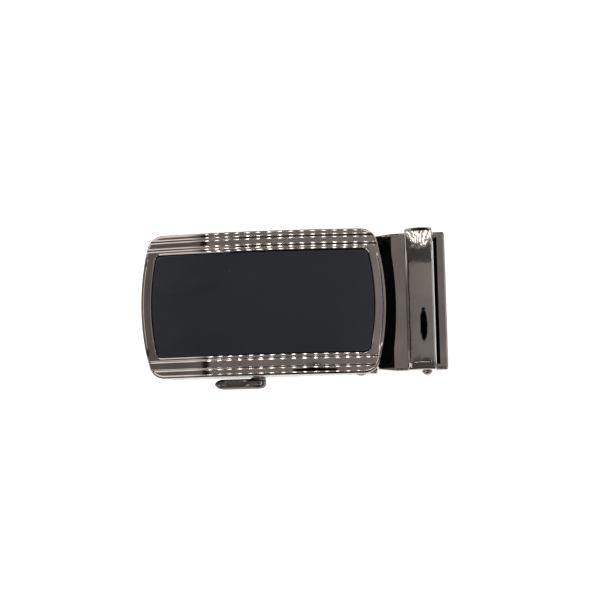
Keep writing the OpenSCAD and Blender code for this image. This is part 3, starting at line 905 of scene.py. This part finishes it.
# The tent's parts, each between two ramps in degrees from overhead: behind, ahead or across.
BEHIND_SEAM = ((19.5, 20), (21, 21.7))      # a dark seam across the tent
SEAM_END = (16, 19)
SEAM_DARKNESS = 0.95
SIDE_BEAM = ((15, 16.5), (20, 21.5))        # a darker beam along each side
BEAM_DARKNESS = 0.7
SIDE_PANEL = (24, 32)                       # the shaded long sides
FRONT_PANEL = (36, 52)                      # the bright end ahead
BACK_CORNERS = ((21, 26), (12, 20))         # the bright corners behind
SLOPE_REACH = 0.36                          # tangent where the roof's slope levels out
SKIRTING = (56, 66)                         # degrees from overhead where the tent's dark skirting sets in
SKIRTING_SHADE = 0.06
LED_COUNT = 38                              # lamps in a row; the sizes below are metres
LED_HEIGHT = 0.316
LED_PITCH = 0.01722
LED_START = -0.129
LED_ROW_Y = 0.15
LED_SIZE = (0.0036, 0.027)
LED_RADIANCE = 18


def place_camera():
    """The camera above the object, at the photograph's angle; returns where it stands."""
    along, across = (math.tan(math.radians(tilt)) for tilt in CAMERA_TILT)
    back = Vector((along, across, 1)).normalized()
    level = (Vector((1, 0, 0)) - back * back.x).normalized()
    right = Matrix.Rotation(math.radians(-CAMERA_ROLL), 3, back) @ level
    camera = new_object("camera", bpy.data.cameras.new("camera"))
    camera.data.lens = CAMERA_LENS
    camera.data.sensor_width = SENSOR_WIDTH
    camera.data.clip_start = 0.01
    camera.matrix_world = Matrix.Translation(AIM + back * CAMERA_FAR) @ Matrix(
        (right, back.cross(right), back)).transposed().to_4x4()
    bpy.context.scene.camera = camera
    return AIM + back * CAMERA_FAR


def math_node(tree, operation, a, b=None):
    """A math node; each input is a number or a node's first output."""
    node = tree.nodes.new("ShaderNodeMath")
    node.operation = operation
    for socket, value in zip(node.inputs, (a, b)):
        if value is None:
            continue
        if isinstance(value, (int, float)):
            socket.default_value = value
        else:
            tree.links.new(value, socket)
    return node.outputs[0]


def affine(tree, value, scale, offset):
    """scale * value + offset, where the offset is a number or a socket."""
    output = math_node(tree, "MULTIPLY_ADD", value, scale)
    if isinstance(offset, (int, float)):
        output.node.inputs[2].default_value = offset
    else:
        tree.links.new(offset, output.node.inputs[2])
    return output


def rising(tree, value, low, high):
    """0 where value is below the tangent of low degrees, 1 above that of high, smooth between."""
    node = tree.nodes.new("ShaderNodeMapRange")
    node.interpolation_type = "SMOOTHSTEP"
    node.inputs["From Min"].default_value = math.tan(math.radians(low))
    node.inputs["From Max"].default_value = math.tan(math.radians(high))
    tree.links.new(value, node.inputs["Value"])
    return node.outputs["Result"]


def inverse(tree, value):
    """1 - value."""
    return affine(tree, value, -1, 1)


def band(tree, value, begins, ends):
    """1 between two ramps, 0 outside them."""
    not_ended = inverse(tree, rising(tree, value, *ends))
    return math_node(tree, "MULTIPLY", rising(tree, value, *begins), not_ended)


def shaded(tree, light, mask, darkness):
    """The light, weakened by darkness where the mask is 1."""
    return math_node(tree, "MULTIPLY", light, affine(tree, mask, -darkness, 1))


def light_tent():
    """A soft tent: grey overhead, bright ahead and in the corners behind, darker along its sides."""
    world = bpy.data.worlds.new("light_tent")
    bpy.context.scene.world = world
    world.use_nodes = True
    tree = world.node_tree
    sky = tree.nodes["Background"]
    place = tree.nodes.new("ShaderNodeTexCoord")
    axes = tree.nodes.new("ShaderNodeSeparateXYZ")
    tree.links.new(place.outputs["Generated"], axes.inputs[0])
    up = math_node(tree, "MAXIMUM", axes.outputs["Z"], 0.05)
    ahead = math_node(tree, "DIVIDE", axes.outputs["X"], up)
    behind = affine(tree, ahead, -1, 0)
    across = math_node(tree, "ABSOLUTE", math_node(tree, "DIVIDE", axes.outputs["Y"], up))
    corners = math_node(tree, "MULTIPLY", rising(tree, behind, *BACK_CORNERS[0]),
                        rising(tree, across, *BACK_CORNERS[1]))
    bright = math_node(tree, "MAXIMUM", rising(tree, ahead, *FRONT_PANEL), corners)
    seam = math_node(tree, "MULTIPLY", band(tree, behind, *BEHIND_SEAM),
                     inverse(tree, rising(tree, across, *SEAM_END)))
    sloped = math_node(tree, "MINIMUM", math_node(tree, "MAXIMUM", ahead, -SLOPE_REACH), SLOPE_REACH)
    step = affine(tree, rising(tree, behind, *BEHIND_SEAM[0]), -ROOF_STEP, ROOF_RADIANCE)
    roof = affine(tree, sloped, ROOF_SLOPE, step)
    roof = shaded(tree, roof, rising(tree, across, *SIDE_PANEL), 1 - SIDE_SHADE)
    roof = shaded(tree, roof, band(tree, across, *SIDE_BEAM), BEAM_DARKNESS)
    strength = affine(tree, bright, END_RADIANCE - ROOF_RADIANCE, roof)
    strength = shaded(tree, strength, seam, SEAM_DARKNESS)
    level = math_node(tree, "SQRT", inverse(tree, math_node(tree, "MULTIPLY", up, up)))
    low_down = rising(tree, math_node(tree, "DIVIDE", level, up), *SKIRTING)
    tree.links.new(shaded(tree, strength, low_down, 1 - SKIRTING_SHADE), sky.inputs["Strength"])
    sky.inputs["Color"].default_value = (1, 1, 1, 1)


def lamp_rows():
    """Two rows of small lamps, one along each long side of the object."""
    lamp = bpy.data.lights.new("lamp", "AREA")
    lamp.shape = "RECTANGLE"
    lamp.size, lamp.size_y = LED_SIZE
    lamp.energy = LED_RADIANCE * math.pi * LED_SIZE[0] * LED_SIZE[1]
    for side in (-1, 1):
        for i in range(LED_COUNT):
            place = new_object("lamp_%s_%d" % ("far" if side > 0 else "near", i), lamp)
            place.location = (LED_START + i * LED_PITCH, side * LED_ROW_Y, LED_HEIGHT)
            place.visible_camera = False


def lens_shade(camera_at):
    """The camera's own dark front, which the polished parts mirror."""
    work = bmesh.new()
    bmesh.ops.create_circle(work, cap_ends=True, segments=64, radius=LENS_R)
    mesh = bpy.data.meshes.new("lens_shade")
    work.to_mesh(mesh)
    work.free()
    material, _, shader = base_material("lens_black", (0.001, 0.001, 0.001), 0.0, 0.9)
    shader.inputs["Specular IOR Level"].default_value = 0
    shade = new_object("lens_shade", mesh, material)
    shade.location = camera_at
    shade.rotation_euler = (camera_at - AIM).to_track_quat("Z", "Y").to_euler()
    shade.visible_camera = False
    shade.visible_shadow = False


def pale_floor():
    """A plain white table."""
    work = bmesh.new()
    bmesh.ops.create_grid(work, x_segments=1, y_segments=1, size=1.5)
    mesh = bpy.data.meshes.new("floor")
    work.to_mesh(mesh)
    work.free()
    material, _, shader = base_material("white_table", (0.9, 0.9, 0.9), 0.0, 0.7)
    shader.inputs["Emission Color"].default_value = (1, 1, 1, 1)
    shader.inputs["Emission Strength"].default_value = 0.75
    new_object("floor", mesh, material)


bpy.context.scene.view_settings.view_transform = "Standard"
camera_at = place_camera()
light_tent()
lamp_rows()
lens_shade(camera_at)
pale_floor()
